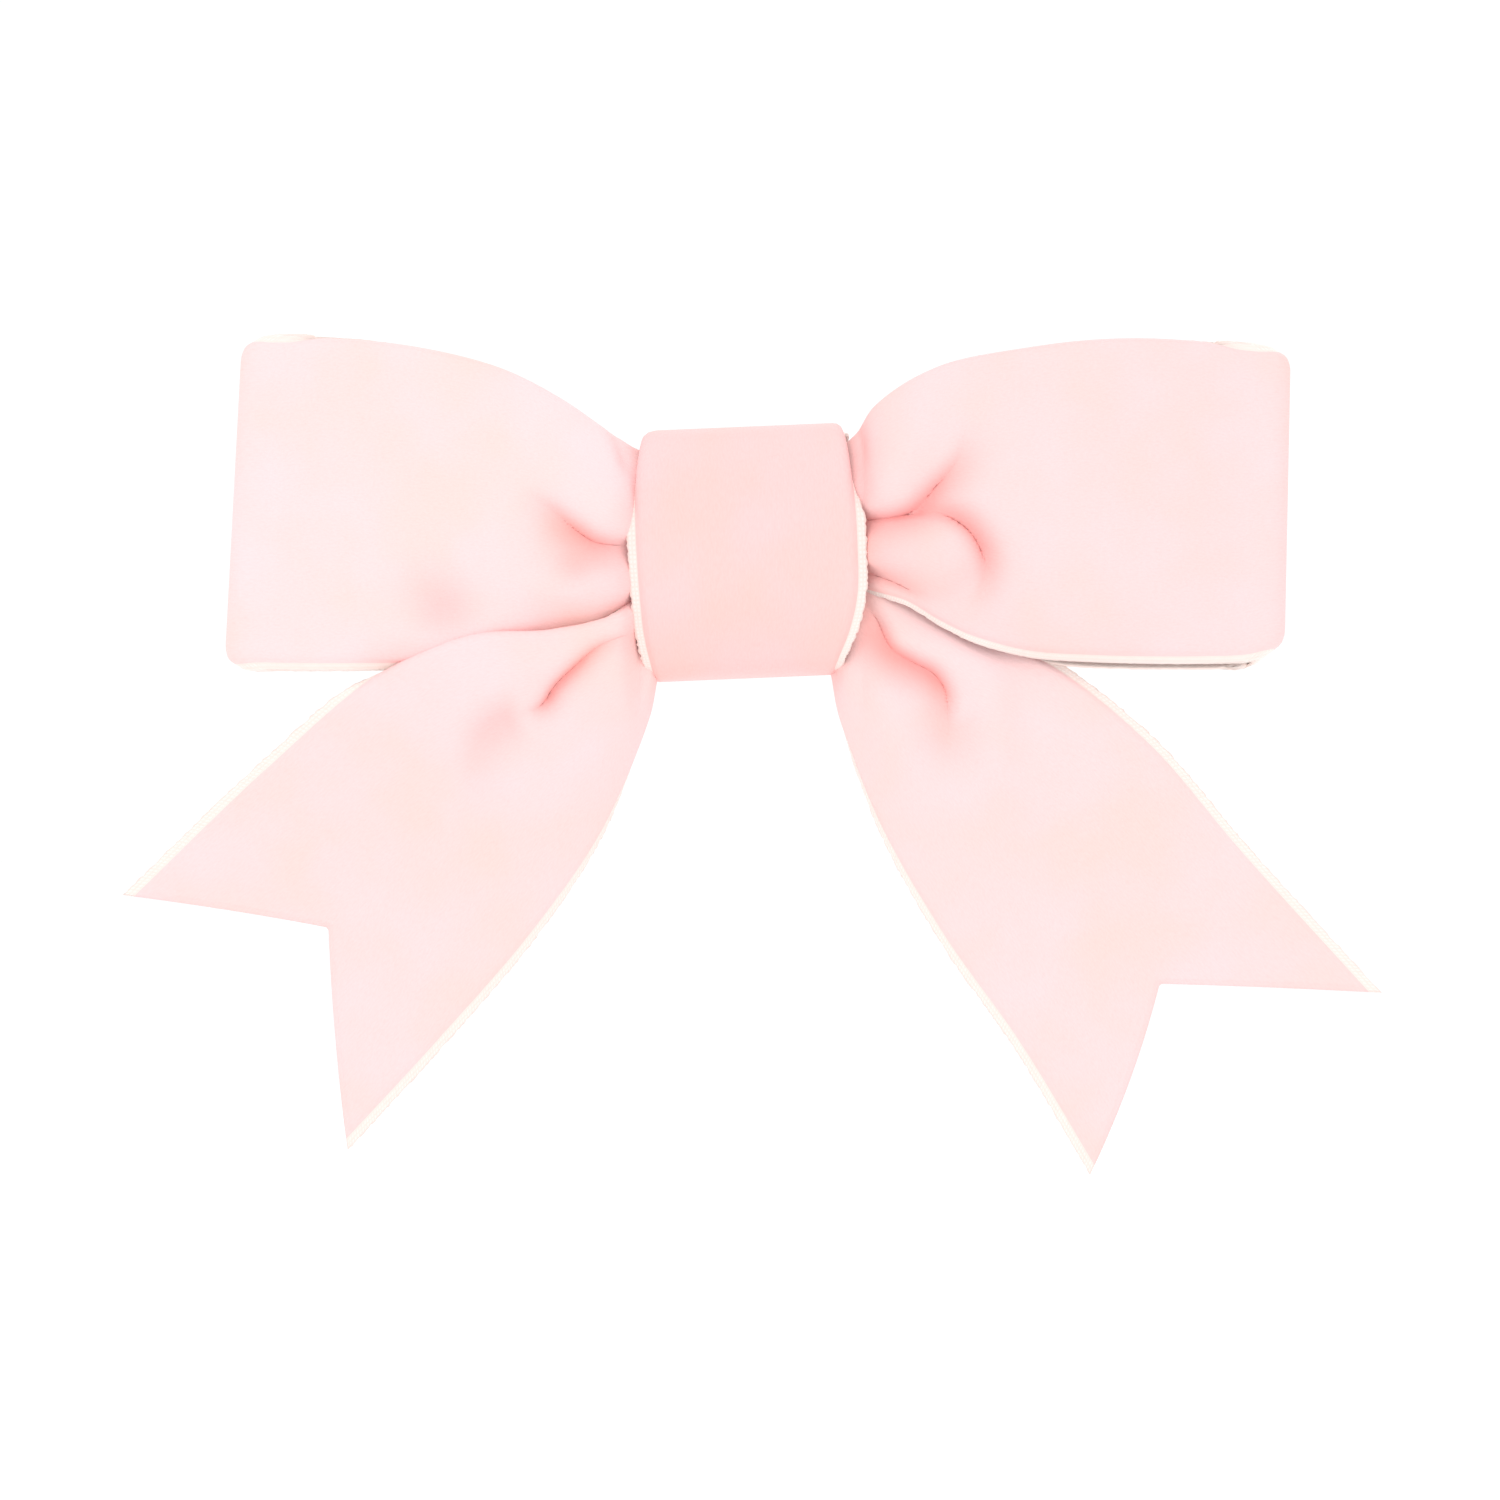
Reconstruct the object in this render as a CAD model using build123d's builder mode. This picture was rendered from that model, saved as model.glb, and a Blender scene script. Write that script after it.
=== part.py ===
"""A velvet ribbon bow on a French barrette, in millimetres.

The bow is three lengths of ribbon: one makes both loops, one crosses behind it and makes both
tails, and a narrower one wraps the middle. A thread binds the gathered middle, glue holds it on
the bowed plate of a steel clip, and the wrap closes round the plate and is stitched at the back.
The clip's arm turns on a riveted pin and snaps over the two wings of a spring clasp. A bowed leaf,
held by a keeper at each end of the plate, presses the hair against the arm.

Frame: +X along the clip to the clasp, +Y towards the head, +Z up. The origin is the centre of the
hair channel, between the leaf and the arm.
"""

import os
from math import cos, radians, sin

from build123d import *

# Ribbons and thread
ribbon_width = 38.0  # loops and tails
ribbon_thickness = 1.1  # ground cloth and pile
wrap_width = 25.4
wrap_tilt = 3.5  # degrees, anticlockwise from the front
wrap_slack = 0.8  # between the bound middle and the wrap
wrap_lap = 7.5  # how far the wrap's end laps over its start, at the back
wrap_lap_bite = 0.02  # how far the lap sinks into the layer under it
wrap_corner_radius = 2.6  # where the wrap turns from its front to its top and bottom
thread_diameter = 0.4
thread_turns = 4
stitch_count = 6
stitch_on_lap = 1.8  # each stitch's length on the lap
stitch_on_layer = 1.1  # and on the layer under it
stitch_slope = 0.75  # along the wrap, where it comes down over the lap's edge
stitch_edge = 0.35  # past the lap's edge, before it comes down
stitch_bend_radius = 0.3

# The gathered middle of the bow
gather_height = 22.4
loop_gather_depth = 6.0
tail_gather_depth = 2.4
glue_gap = 0.6  # between the gathered tails and the plate
glue_pad_length = 8.0
glue_pad_height = 7.6
glue_pad_corner_radius = 1.5

# Loops
loop_reach = 57.6  # from the middle to each end fold
loop_lift = 5.8  # the ends' middle above the bow's middle
loop_swell = 5.8  # how far the front layer stands ahead of the gathered middle
loop_fold_radius = 2.4
loop_fold_lean = 0.4  # how far the back layer leans forward by its end fold
loop_corner_radius = 3.0
loop_crest_share = 0.55  # where the front layer stands out most, from the wrap to the end fold
loop_shoulder = 0.62  # where the top edge has nearly levelled out, in ribbon widths from the wrap
loop_shoulder_drop = 0.8  # how far the top edge is below its highest there
neck_bottom = 8.4  # the front outline's lower edge where the loops leave the wrap

# Tails: (side, distance from the middle to the cut end's middle, lean of that line from straight
# down, lean of the ribbon where it is cut)
left_tail = (-1, 78.0, 47.7, 48.7)
right_tail = (1, 80.6, 42.5, 32.0)
notch_depth = 16.0
tail_swing = 3.0  # how far the tails' middle stands ahead of their top
tail_crest_share = 0.65  # how far down the tails stand out most
tail_tip_share = 0.6  # how far the tips stand out, as a share of the swing
tail_hip = 0.95  # where a tail comes out from under the loop, in ribbon widths from the middle

# Clip plate
plate_length = 80.0
plate_width = 9.5
plate_thickness = 0.8
plate_rise = 1.6  # the bowed middle ahead of the flat ends
plate_flat = 12.0  # each flat end
plate_end_radius = 3.2
sewing_hole_diameter = 1.6
sewing_hole_inset = 1.6

# Hair channel, leaf and keepers
hair_gap = 5.2
leaf_width = 5.0
leaf_thickness = 0.35
leaf_corner_radius = 0.8
leaf_bow = 1.2
leaf_travel = 0.8
leaf_clearance = 0.5  # between the pressed leaf and the stitches behind the wrap
tongue_width = 3.2
tongue_length = 3.0
tongue_corner_radius = 0.6
keeper_width = 1.0
keeper_thickness = 0.6
keeper_inset = 0.7  # from the plate's bowed part to the keeper

# Hinge
pin_diameter = 1.5
pin_head_diameter = 2.6
pin_head_thickness = 0.5
hinge_inset = 5.5  # from the plate's end to the pin
ear_thickness = 0.8
ear_radius = 2.1
web_thickness = 0.5  # the hinge box's end wall, which stops the open arm
web_rise = 2.1  # the wall's top above the pin

# Arm
arm_thickness = 0.8
arm_bow = 1.3
arm_width = 6.0
arm_rib_width = 1.6
arm_rib_height = 0.35
arm_rib_inset = 12.0  # from the pin, and from the arm's flat end
arm_neck_length = 4.5  # narrow part beside the pin
arm_taper_length = 7.5  # from the neck to the arm's full width
paddle_taper_length = 6.0
paddle_width = 9.2
paddle_wall = 1.2  # past the slot, at the arm's tip
paddle_corner_radius = 2.6
slot_corner_radius = 0.5

# Clasp
clasp_inset = 6.5  # from the plate's end to the wings' middle
wing_length = 3.6  # along X
wing_thickness = 0.4
wing_spread = 5.2  # over the wings' outer faces
wing_top = 2.7  # above the arm's back face
barb_depth = 0.55
barb_gap = 0.12
clasp_foot_length = 4.6
clasp_rivet_diameter = 1.6
clasp_rivet_head_diameter = 2.8
clasp_rivet_head_thickness = 0.35

# Clearances
running = 0.05  # pin in the arm's eye, radial
seated = 0.02  # pin in the ears and rivet in its holes, radial
sliding = 0.15  # beside the tongues and round the wings
side_play = 0.2  # arm between the ears, and wings in the arm's slot
fabric_gap = 0.15
thread_gap = 0.1  # between the gathered ribbons and the thread

# Places worked out from those sizes, all along Y unless they say otherwise
arc_end_x = plate_length / 2 - plate_flat
wrap_dip = plate_rise * (wrap_width / 2 / arc_end_x) ** 2
wrap_back_stack = wrap_dip + fabric_gap + 2 * ribbon_thickness + running + thread_diameter
leaf_to_plate = wrap_back_stack + leaf_clearance + leaf_travel
half_gap = hair_gap / 2
leaf_front_middle = -half_gap - leaf_thickness
plate_back_middle = leaf_front_middle - leaf_to_plate
plate_front_middle = plate_back_middle - plate_thickness
plate_back_end = plate_back_middle + plate_rise
plate_front_end = plate_back_end - plate_thickness
tail_back = plate_front_middle - glue_gap
tail_front = tail_back - tail_gather_depth
loop_front = tail_front - loop_gather_depth
pin_radius = pin_diameter / 2
pin_x = -plate_length / 2 + hinge_inset
clasp_x = plate_length / 2 - clasp_inset
sewing_hole_x = plate_length / 2 - sewing_hole_inset
arm_front_end = half_gap - arm_bow
arm_back_end = arm_front_end + arm_thickness
pin_y = arm_front_end - pin_radius - running
eye_radius = pin_radius + running + arm_thickness
half_plate = plate_width / 2
hinge_width = plate_width - 2 * ear_thickness - 2 * side_play
slot_width = wing_spread + 2 * side_play
slot_length = wing_length + 2 * sliding
wing_axis_z = (wing_spread - wing_thickness) / 2
wing_axis_y = plate_back_end + 2.5 * wing_thickness
tongue_back = -half_gap - leaf_bow
half_gather = gather_height / 2
wrap_inner_half = half_gather + thread_gap + thread_diameter + wrap_slack
wrap_front = loop_front - thread_gap - thread_diameter - fabric_gap
wrap_top = wrap_inner_half + ribbon_thickness
wrap_edge_drop = sin(radians(wrap_tilt)) * wrap_width / 2
wrap_half_span = cos(radians(wrap_tilt)) * wrap_width / 2 + sin(radians(wrap_tilt)) * wrap_top
wrap_edge_x = wrap_half_span + fabric_gap
wrap_back_inner = plate_back_middle + wrap_dip + fabric_gap
wrap_back = wrap_back_inner + ribbon_thickness
whole_depth = 2 * abs(loop_front - loop_swell - ribbon_thickness)

os.makedirs("parts", exist_ok=True)


def bowed_outline(flat_x, flat_y, middle_y, end_x, thickness):
    """Adds the closed side outline of a strip, bowed between its flat ends, to a BuildLine."""
    for y, rise in ((flat_y, middle_y), (flat_y - thickness, middle_y - thickness)):
        Line((-end_x, y), (-flat_x, y))
        ThreePointArc((-flat_x, y), (0, rise), (flat_x, y))
        Line((flat_x, y), (end_x, y))
    Line((-end_x, flat_y), (-end_x, flat_y - thickness))
    Line((end_x, flat_y), (end_x, flat_y - thickness))


def tail_end(tail):
    """The two tips and the notch of a tail's cut end, as points in the XZ plane."""
    side, length, lean, cut_lean = tail
    out = Vector(side * sin(radians(cut_lean)), -cos(radians(cut_lean)))
    across = Vector(-out.Y, out.X) * side
    middle = Vector(side * sin(radians(lean)), -cos(radians(lean))) * length
    outer_tip = middle + across * ribbon_width / 2
    inner_tip = middle - across * ribbon_width / 2
    return outer_tip, middle - out * notch_depth, inner_tip, out


def tail_outline(tail):
    """Adds one tail's front outline, from the wrap's edge to its notched end, to a BuildLine."""
    side = tail[0]
    outer_tip, notch, inner_tip, out = tail_end(tail)
    inside_wrap = wrap_edge_x - 2 * fabric_gap
    low = -wrap_top - wrap_edge_drop - fabric_gap
    top = (side * inside_wrap, neck_bottom / 2)
    hip = (side * ribbon_width * tail_hip, -loop_lift - neck_bottom * 0.6)
    below_wrap = (side * wrap_edge_x, low)
    Spline(top, hip, outer_tip, tangents=[(side, -0.3), out])
    Line(outer_tip, notch)
    Line(notch, inner_tip)
    Spline(inner_tip, below_wrap, tangents=[out * -1, (-side * 0.05, 1)])
    Line(below_wrap, (side * wrap_edge_x, -half_gather + fabric_gap))
    Line((side * wrap_edge_x, -half_gather + fabric_gap), (side * inside_wrap, -half_gather + fabric_gap))
    Line((side * inside_wrap, -half_gather + fabric_gap), top)


# ---- Loop ribbon: a flattened ring of ribbon, pinched in the middle ----
fold_x = loop_reach - loop_fold_radius
fold_y = tail_front - fabric_gap - loop_fold_radius - loop_fold_lean
loop_back = tail_front - fabric_gap
loop_crest_x = wrap_edge_x + (fold_x - wrap_edge_x) * loop_crest_share
loop_top = loop_lift + ribbon_width / 2
loop_bottom = loop_lift - ribbon_width / 2


def loop_outline(inset):
    """Adds the closed top outline of the right loop, drawn in by a distance, to a BuildLine."""
    radius = loop_fold_radius - inset
    front = (wrap_edge_x, loop_front + inset)
    back = (wrap_edge_x, loop_back - inset)
    crest = (loop_crest_x, loop_front - loop_swell + inset)
    fold_front = (fold_x, fold_y - radius)
    fold_back = (fold_x, fold_y + radius)
    Spline(front, crest, fold_front, tangents=[(1, -0.55), (1, 0.25)])
    ThreePointArc(fold_front, (fold_x + radius, fold_y), fold_back)
    Line(fold_back, back)
    Line(back, front)


with BuildPart() as loop_ribbon:
    with BuildSketch(Plane.XY.offset(loop_bottom - loop_corner_radius)):
        with BuildLine():
            loop_outline(0)
        make_face()
        with BuildLine():
            loop_outline(ribbon_thickness)
        make_face(mode=Mode.SUBTRACT)
        mirror(about=Plane.YZ)
        with Locations((0, (loop_front + loop_back) / 2)):
            Rectangle(2 * (wrap_edge_x + ribbon_thickness), loop_back - loop_front)
    extrude(amount=ribbon_width + 2 * loop_corner_radius)
    with BuildSketch(Plane.XZ) as loop_silhouette:
        with BuildLine():
            Line((0, half_gather), (wrap_edge_x, half_gather))
            Spline(
                (wrap_edge_x, half_gather),
                (wrap_edge_x + ribbon_width * loop_shoulder, loop_top - loop_shoulder_drop),
                (loop_reach, loop_top),
                tangents=[(1, 0.75), (1, 0)],
            )
            Line((loop_reach, loop_top), (loop_reach, loop_bottom))
            Spline(
                (loop_reach, loop_bottom),
                (wrap_edge_x, -neck_bottom),
                tangents=[(-1, 0), (-1, 0.1)],
            )
            Line((wrap_edge_x, -neck_bottom), (wrap_edge_x, -half_gather))
            Line((wrap_edge_x, -half_gather), (0, -half_gather))
            mirror(about=Plane.YZ)
        make_face()
        fillet(
            loop_silhouette.vertices().group_by(Axis.X)[0]
            + loop_silhouette.vertices().group_by(Axis.X)[-1],
            loop_corner_radius,
        )
    extrude(amount=whole_depth, both=True, mode=Mode.INTERSECT)
loop_ribbon.part.label = "loop_ribbon"

# ---- Tail ribbon: one length that crosses behind the loops, cut to a notch at each end ----
tail_lowest = min(tail_end(left_tail)[2].Y, tail_end(right_tail)[2].Y)
tip_swing = tail_swing * tail_tip_share
sheet_back = tail_back - (tail_gather_depth - ribbon_thickness) / 2

with BuildPart() as tail_ribbon:
    with BuildSketch(Plane.YZ):
        with BuildLine():
            for y in (sheet_back, sheet_back - ribbon_thickness):
                Line((y, half_gather), (y, -half_gather))
                Spline(
                    (y, -half_gather),
                    (y - tail_swing, tail_lowest * tail_crest_share),
                    (y - tip_swing, tail_lowest),
                    tangents=[(0, -1), (0.12, -1)],
                )
            Line((sheet_back, half_gather), (sheet_back - ribbon_thickness, half_gather))
            Line(
                (sheet_back - tip_swing, tail_lowest),
                (sheet_back - ribbon_thickness - tip_swing, tail_lowest),
            )
        make_face()
    extrude(amount=2 * loop_reach, both=True)
    with BuildSketch(Plane.XZ):
        for tail in (left_tail, right_tail):
            with BuildLine():
                tail_outline(tail)
            make_face()
    extrude(amount=whole_depth, mode=Mode.INTERSECT)
    with BuildSketch(Plane.XY.offset(-half_gather)):
        with Locations((0, (tail_back + tail_front) / 2)):
            Rectangle(2 * wrap_edge_x, tail_gather_depth)
    extrude(amount=gather_height)
tail_ribbon.part.label = "tail_ribbon"

# ---- Gather thread: turns bound round both gathered ribbons ----
thread_radius = thread_diameter / 2
thread_middle = (tail_back + loop_front) / 2
thread_inner_depth = tail_back - loop_front + 2 * thread_gap
thread_inner_height = gather_height + 2 * thread_gap
thread_pitch = 1.5 * thread_diameter

with BuildPart() as gather_thread:
    for turn in range(thread_turns):
        x = (turn - (thread_turns - 1) / 2) * thread_pitch
        with BuildSketch(Plane.YZ.offset(x - thread_radius)):
            with Locations((thread_middle, 0)):
                RectangleRounded(
                    thread_inner_depth + 2 * thread_diameter,
                    thread_inner_height + 2 * thread_diameter,
                    2 * thread_diameter,
                )
                RectangleRounded(
                    thread_inner_depth, thread_inner_height, thread_radius, mode=Mode.SUBTRACT
                )
        extrude(amount=thread_diameter)
    fillet(gather_thread.edges().filter_by(Axis.X, reverse=True), thread_radius * 0.75)
gather_thread.part.label = "gather_thread"

# ---- Glue pads: one each side of the thread, between the tails and the plate ----
with BuildPart() as glue_pads:
    with BuildSketch(Plane.XY.offset(-glue_pad_height / 2)):
        with GridLocations(glue_pad_length + thread_turns * 2 * thread_diameter, 0, 2, 1):
            with Locations((0, tail_back + glue_gap / 2)):
                Rectangle(glue_pad_length, glue_gap - running)
    extrude(amount=glue_pad_height)
    fillet(glue_pads.edges().filter_by(Axis.Y), glue_pad_corner_radius)
glue_pads.part.label = "glue_pads"

# ---- Centre wrap: a ring round the middle and the plate, lapped at the back ----
wrap_plane = Plane(
    origin=(0, 0, 0),
    x_dir=(0, 1, 0),
    z_dir=(cos(radians(wrap_tilt)), 0, sin(radians(wrap_tilt))),
)
wrap_back_half = half_plate + wrap_edge_drop + fabric_gap
wrap_back_top = wrap_back_half + ribbon_thickness
wrap_shoulder = tail_back + ribbon_thickness

with BuildPart() as centre_wrap:
    with BuildSketch(wrap_plane.offset(-wrap_width / 2)) as ring:
        with BuildLine():
            Polyline(
                (wrap_front - ribbon_thickness, wrap_top),
                (wrap_shoulder, wrap_top),
                (wrap_back, wrap_back_top),
                (wrap_back, -wrap_back_top),
                (wrap_shoulder, -wrap_top),
                (wrap_front - ribbon_thickness, -wrap_top),
                close=True,
            )
        make_face()
        fillet(ring.vertices().group_by(Axis.X)[0], wrap_corner_radius)
        offset(amount=-ribbon_thickness, mode=Mode.SUBTRACT)
        with Locations((wrap_back + ribbon_thickness / 2, wrap_back_half - wrap_lap / 2)):
            RectangleRounded(ribbon_thickness + wrap_lap_bite, wrap_lap, ribbon_thickness * 0.45)
    extrude(amount=wrap_width)
centre_wrap.part.label = "centre_wrap"

# ---- Seam stitches: over the lap's edge, from the lap to the layer under it ----
lap_edge = wrap_back_half - wrap_lap
lap_face = wrap_back + ribbon_thickness + running + thread_radius
under_face = wrap_back + running + thread_radius
stitch_pitch = wrap_width / (stitch_count + 1)

with BuildPart() as seam_stitches:
    for number in range(stitch_count):
        along = (number - (stitch_count - 1) / 2) * stitch_pitch
        with BuildLine(wrap_plane.offset(along)) as stitch:
            FilletPolyline(
                (lap_face, lap_edge + stitch_on_lap),
                (lap_face, lap_edge - stitch_edge),
                (under_face, lap_edge - stitch_edge - stitch_slope),
                (under_face, lap_edge - stitch_edge - stitch_slope - stitch_on_layer),
                radius=stitch_bend_radius,
            )
        with BuildSketch(Plane(origin=stitch.line @ 0, z_dir=stitch.line % 0)):
            Circle(thread_radius)
        sweep(path=stitch.line)
seam_stitches.part.label = "seam_stitches"

# ---- Base plate: bowed strip with hinge box, keepers, rivet hole and sewing holes ----
keeper_x = arc_end_x + keeper_inset + keeper_width / 2
keeper_window = tongue_width + 2 * sliding
keeper_under = tongue_back + running
web_x = pin_x - ear_radius - side_play

with BuildPart() as base_plate:
    with BuildSketch(Plane.XY.offset(-half_plate)):
        with BuildLine():
            bowed_outline(
                arc_end_x, plate_back_end, plate_back_middle, plate_length / 2, plate_thickness
            )
        make_face()
    extrude(amount=plate_width)
    with BuildSketch(Plane.XZ):
        RectangleRounded(plate_length, plate_width, plate_end_radius)
        with Locations((-sewing_hole_x, 0), (sewing_hole_x, 0)):
            Circle(sewing_hole_diameter / 2, mode=Mode.SUBTRACT)
        with Locations((clasp_x, 0)):
            Circle(clasp_rivet_diameter / 2 + seated, mode=Mode.SUBTRACT)
    extrude(amount=whole_depth, both=True, mode=Mode.INTERSECT)
    # Hinge ears
    for low_z in (-half_plate, half_plate - ear_thickness):
        with BuildSketch(Plane.XY.offset(low_z)):
            with Locations((pin_x, (plate_front_end + pin_y) / 2)):
                Rectangle(2 * ear_radius, pin_y - plate_front_end)
            with Locations((pin_x, pin_y)):
                Circle(ear_radius)
                Circle(pin_radius + seated, mode=Mode.SUBTRACT)
        extrude(amount=ear_thickness)
    # End wall between the ears
    with BuildSketch(Plane.XY.offset(-half_plate)):
        with BuildLine():
            Polyline(
                (web_x - web_thickness, plate_front_end),
                (web_x - web_thickness, pin_y + web_rise),
                (web_x, pin_y + web_rise),
                (web_x, plate_back_end),
                (pin_x, plate_back_end),
                (pin_x, plate_front_end),
                close=True,
            )
        make_face()
    extrude(amount=plate_width)
    # Keepers over the leaf's tongues
    with BuildSketch(Plane.XZ.offset(-plate_back_end)):
        with Locations((-keeper_x, 0), (keeper_x, 0)):
            Rectangle(keeper_width, keeper_window + 2 * keeper_thickness)
    extrude(amount=-(keeper_under + keeper_thickness - plate_back_end))
    with BuildSketch(Plane.XZ.offset(-plate_back_end)):
        with Locations((-keeper_x, 0), (keeper_x, 0)):
            Rectangle(2 * keeper_width, keeper_window)
    extrude(amount=-(keeper_under - plate_back_end), mode=Mode.SUBTRACT)
base_plate.part.label = "base_plate"

# ---- Hinge pin: riveted over outside both ears ----
with BuildPart() as hinge_pin:
    with Locations((pin_x, pin_y, 0)):
        Cylinder(pin_radius, plate_width + 2 * running)
    for side in (-1, 1):
        with Locations((pin_x, pin_y, side * (half_plate + running + pin_head_thickness / 2))):
            Cylinder(pin_head_diameter / 2, pin_head_thickness)
    rims = hinge_pin.edges().filter_by(GeomType.CIRCLE).sort_by(Axis.Z)
    fillet([rims[0], rims[-1]], pin_head_thickness * 0.8)
hinge_pin.part.label = "hinge_pin"

# ---- Tension leaf: bowed spring strip with a tongue at each end ----
leaf_half_length = arc_end_x + tongue_length

with BuildPart() as tension_leaf:
    with BuildSketch(Plane.XY.offset(-leaf_width / 2)):
        with BuildLine():
            bowed_outline(arc_end_x, tongue_back, -half_gap, leaf_half_length, leaf_thickness)
        make_face()
    extrude(amount=leaf_width)
    with BuildSketch(Plane.XZ) as leaf_outline:
        Rectangle(2 * arc_end_x, leaf_width)
        fillet(leaf_outline.vertices(), leaf_corner_radius)
        RectangleRounded(2 * leaf_half_length, tongue_width, tongue_corner_radius)
    extrude(amount=whole_depth, both=True, mode=Mode.INTERSECT)
tension_leaf.part.label = "tension_leaf"

# ---- Closing arm: an eye round the pin, a ribbed strip and a slotted paddle ----
arm_tip_x = clasp_x + slot_length / 2 + paddle_wall
arm_flat_x = clasp_x - slot_length / 2 - paddle_wall
arm_middle_x = (pin_x + arm_flat_x) / 2
rib_length = arm_flat_x - pin_x - 2 * arm_rib_inset
arm_start_x = pin_x - eye_radius - 1

with BuildPart() as closing_arm:
    with BuildSketch(Plane.XY.offset(-paddle_width / 2)):
        with BuildLine():
            for y in (arm_front_end, arm_back_end):
                ThreePointArc((pin_x, y), (arm_middle_x, y + arm_bow), (arm_flat_x, y))
                Line((arm_flat_x, y), (arm_tip_x, y))
            Line((pin_x, arm_front_end), (pin_x, arm_back_end))
            Line((arm_tip_x, arm_front_end), (arm_tip_x, arm_back_end))
        make_face()
        with Locations((pin_x, pin_y)):
            Circle(eye_radius)
            Circle(pin_radius + running, mode=Mode.SUBTRACT)
    extrude(amount=paddle_width)
    with BuildSketch(Plane.XY.offset(-arm_rib_width / 2)):
        with BuildLine():
            for y in (arm_back_end, arm_back_end + arm_rib_height):
                ThreePointArc((pin_x, y), (arm_middle_x, y + arm_bow), (arm_flat_x, y))
            Line((pin_x, arm_back_end), (pin_x, arm_back_end + arm_rib_height))
            Line((arm_flat_x, arm_back_end), (arm_flat_x, arm_back_end + arm_rib_height))
        make_face()
        with Locations((arm_middle_x, 0)):
            Rectangle(rib_length, whole_depth, mode=Mode.INTERSECT)
    extrude(amount=arm_rib_width)
    with BuildSketch(Plane.XZ) as arm_outline:
        with BuildLine():
            Polyline(
                (arm_start_x, hinge_width / 2),
                (pin_x + arm_neck_length, hinge_width / 2),
                (pin_x + arm_neck_length + arm_taper_length, arm_width / 2),
                (arm_flat_x - paddle_taper_length, arm_width / 2),
                (arm_flat_x, paddle_width / 2),
                (arm_tip_x, paddle_width / 2),
                (arm_tip_x, 0),
            )
            mirror(about=Plane.XZ)
            Line((arm_start_x, hinge_width / 2), (arm_start_x, -hinge_width / 2))
        make_face()
        fillet(arm_outline.vertices().group_by(Axis.X)[-1], paddle_corner_radius)
        with Locations((clasp_x, 0)):
            RectangleRounded(slot_length, slot_width, slot_corner_radius, mode=Mode.SUBTRACT)
    extrude(amount=whole_depth, both=True, mode=Mode.INTERSECT)
closing_arm.part.label = "closing_arm"

# ---- Clasp bracket: foot and the stubs that the wings bend from ----
foot_top = plate_back_end + wing_thickness
root_radius = wing_thickness / 2

with BuildPart() as clasp_bracket:
    with BuildSketch(Plane.XZ.offset(-plate_back_end)):
        with Locations((clasp_x, 0)):
            Rectangle(clasp_foot_length, wing_spread)
            Circle(clasp_rivet_diameter / 2 + seated, mode=Mode.SUBTRACT)
    extrude(amount=-wing_thickness)
    with BuildSketch(Plane.XZ.offset(-foot_top)):
        with Locations((clasp_x, wing_axis_z), (clasp_x, -wing_axis_z)):
            Rectangle(wing_length, wing_thickness)
    extrude(amount=-(wing_axis_y - root_radius - running - foot_top))
clasp_bracket.part.label = "clasp_bracket"


def clasp_wing(side):
    """One wing: a spring leg with a rounded root and an outward barb behind the arm."""
    inner = side * (wing_axis_z - root_radius)
    outer = side * (wing_axis_z + root_radius)
    barb_low = arm_back_end + barb_gap
    tip = arm_back_end + wing_top
    with BuildPart() as wing:
        with BuildSketch(Plane.YZ.offset(clasp_x - wing_length / 2)):
            with BuildLine():
                Polyline(
                    (wing_axis_y, inner),
                    (tip, inner),
                    (tip, outer),
                    (barb_low + 2.5 * barb_depth, outer),
                    (barb_low, outer + side * barb_depth),
                    (barb_low, outer),
                    (wing_axis_y, outer),
                    close=True,
                )
            make_face()
            with Locations((wing_axis_y, side * wing_axis_z)):
                Circle(root_radius)
        extrude(amount=wing_length)
        tips = wing.edges().filter_by(Axis.Z).group_by(Axis.Y)[-1]
        fillet(tips, wing_length * 0.3)
    return wing


clasp_wing_upper = clasp_wing(1)
clasp_wing_upper.part.label = "clasp_wing_upper"
clasp_wing_lower = clasp_wing(-1)
clasp_wing_lower.part.label = "clasp_wing_lower"

# ---- Clasp rivet: holds the bracket on the plate ----
rivet_grip = plate_thickness + wing_thickness + 2 * running

with BuildPart() as clasp_rivet:
    with BuildSketch(Plane.XZ.offset(-(plate_front_end - running))):
        with Locations((clasp_x, 0)):
            Circle(clasp_rivet_diameter / 2)
    extrude(amount=-rivet_grip)
    for start, amount in (
        (plate_front_end - running, clasp_rivet_head_thickness),
        (plate_front_end - running + rivet_grip, -clasp_rivet_head_thickness),
    ):
        with BuildSketch(Plane.XZ.offset(-start)):
            with Locations((clasp_x, 0)):
                Circle(clasp_rivet_head_diameter / 2)
        extrude(amount=amount)
    rims = clasp_rivet.edges().filter_by(GeomType.CIRCLE).sort_by(Axis.Y)
    fillet([rims[0], rims[-1]], clasp_rivet_head_thickness * 0.8)
clasp_rivet.part.label = "clasp_rivet"

for piece in (
    loop_ribbon,
    tail_ribbon,
    gather_thread,
    glue_pads,
    centre_wrap,
    seam_stitches,
    base_plate,
    hinge_pin,
    tension_leaf,
    closing_arm,
    clasp_bracket,
    clasp_wing_upper,
    clasp_wing_lower,
    clasp_rivet,
):
    export_step(piece.part, f"parts/{piece.part.label}.step")
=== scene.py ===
"""A blush velvet bow barrette: the ribbons' looks, the clip's finishes, the light and the camera.

Shapes are worked out in millimetres and written in metres. Each ribbon is one strip of cloth: a
grid of points along it and across it, given the pile's thickness, with woven edges.
"""

import math

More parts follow.
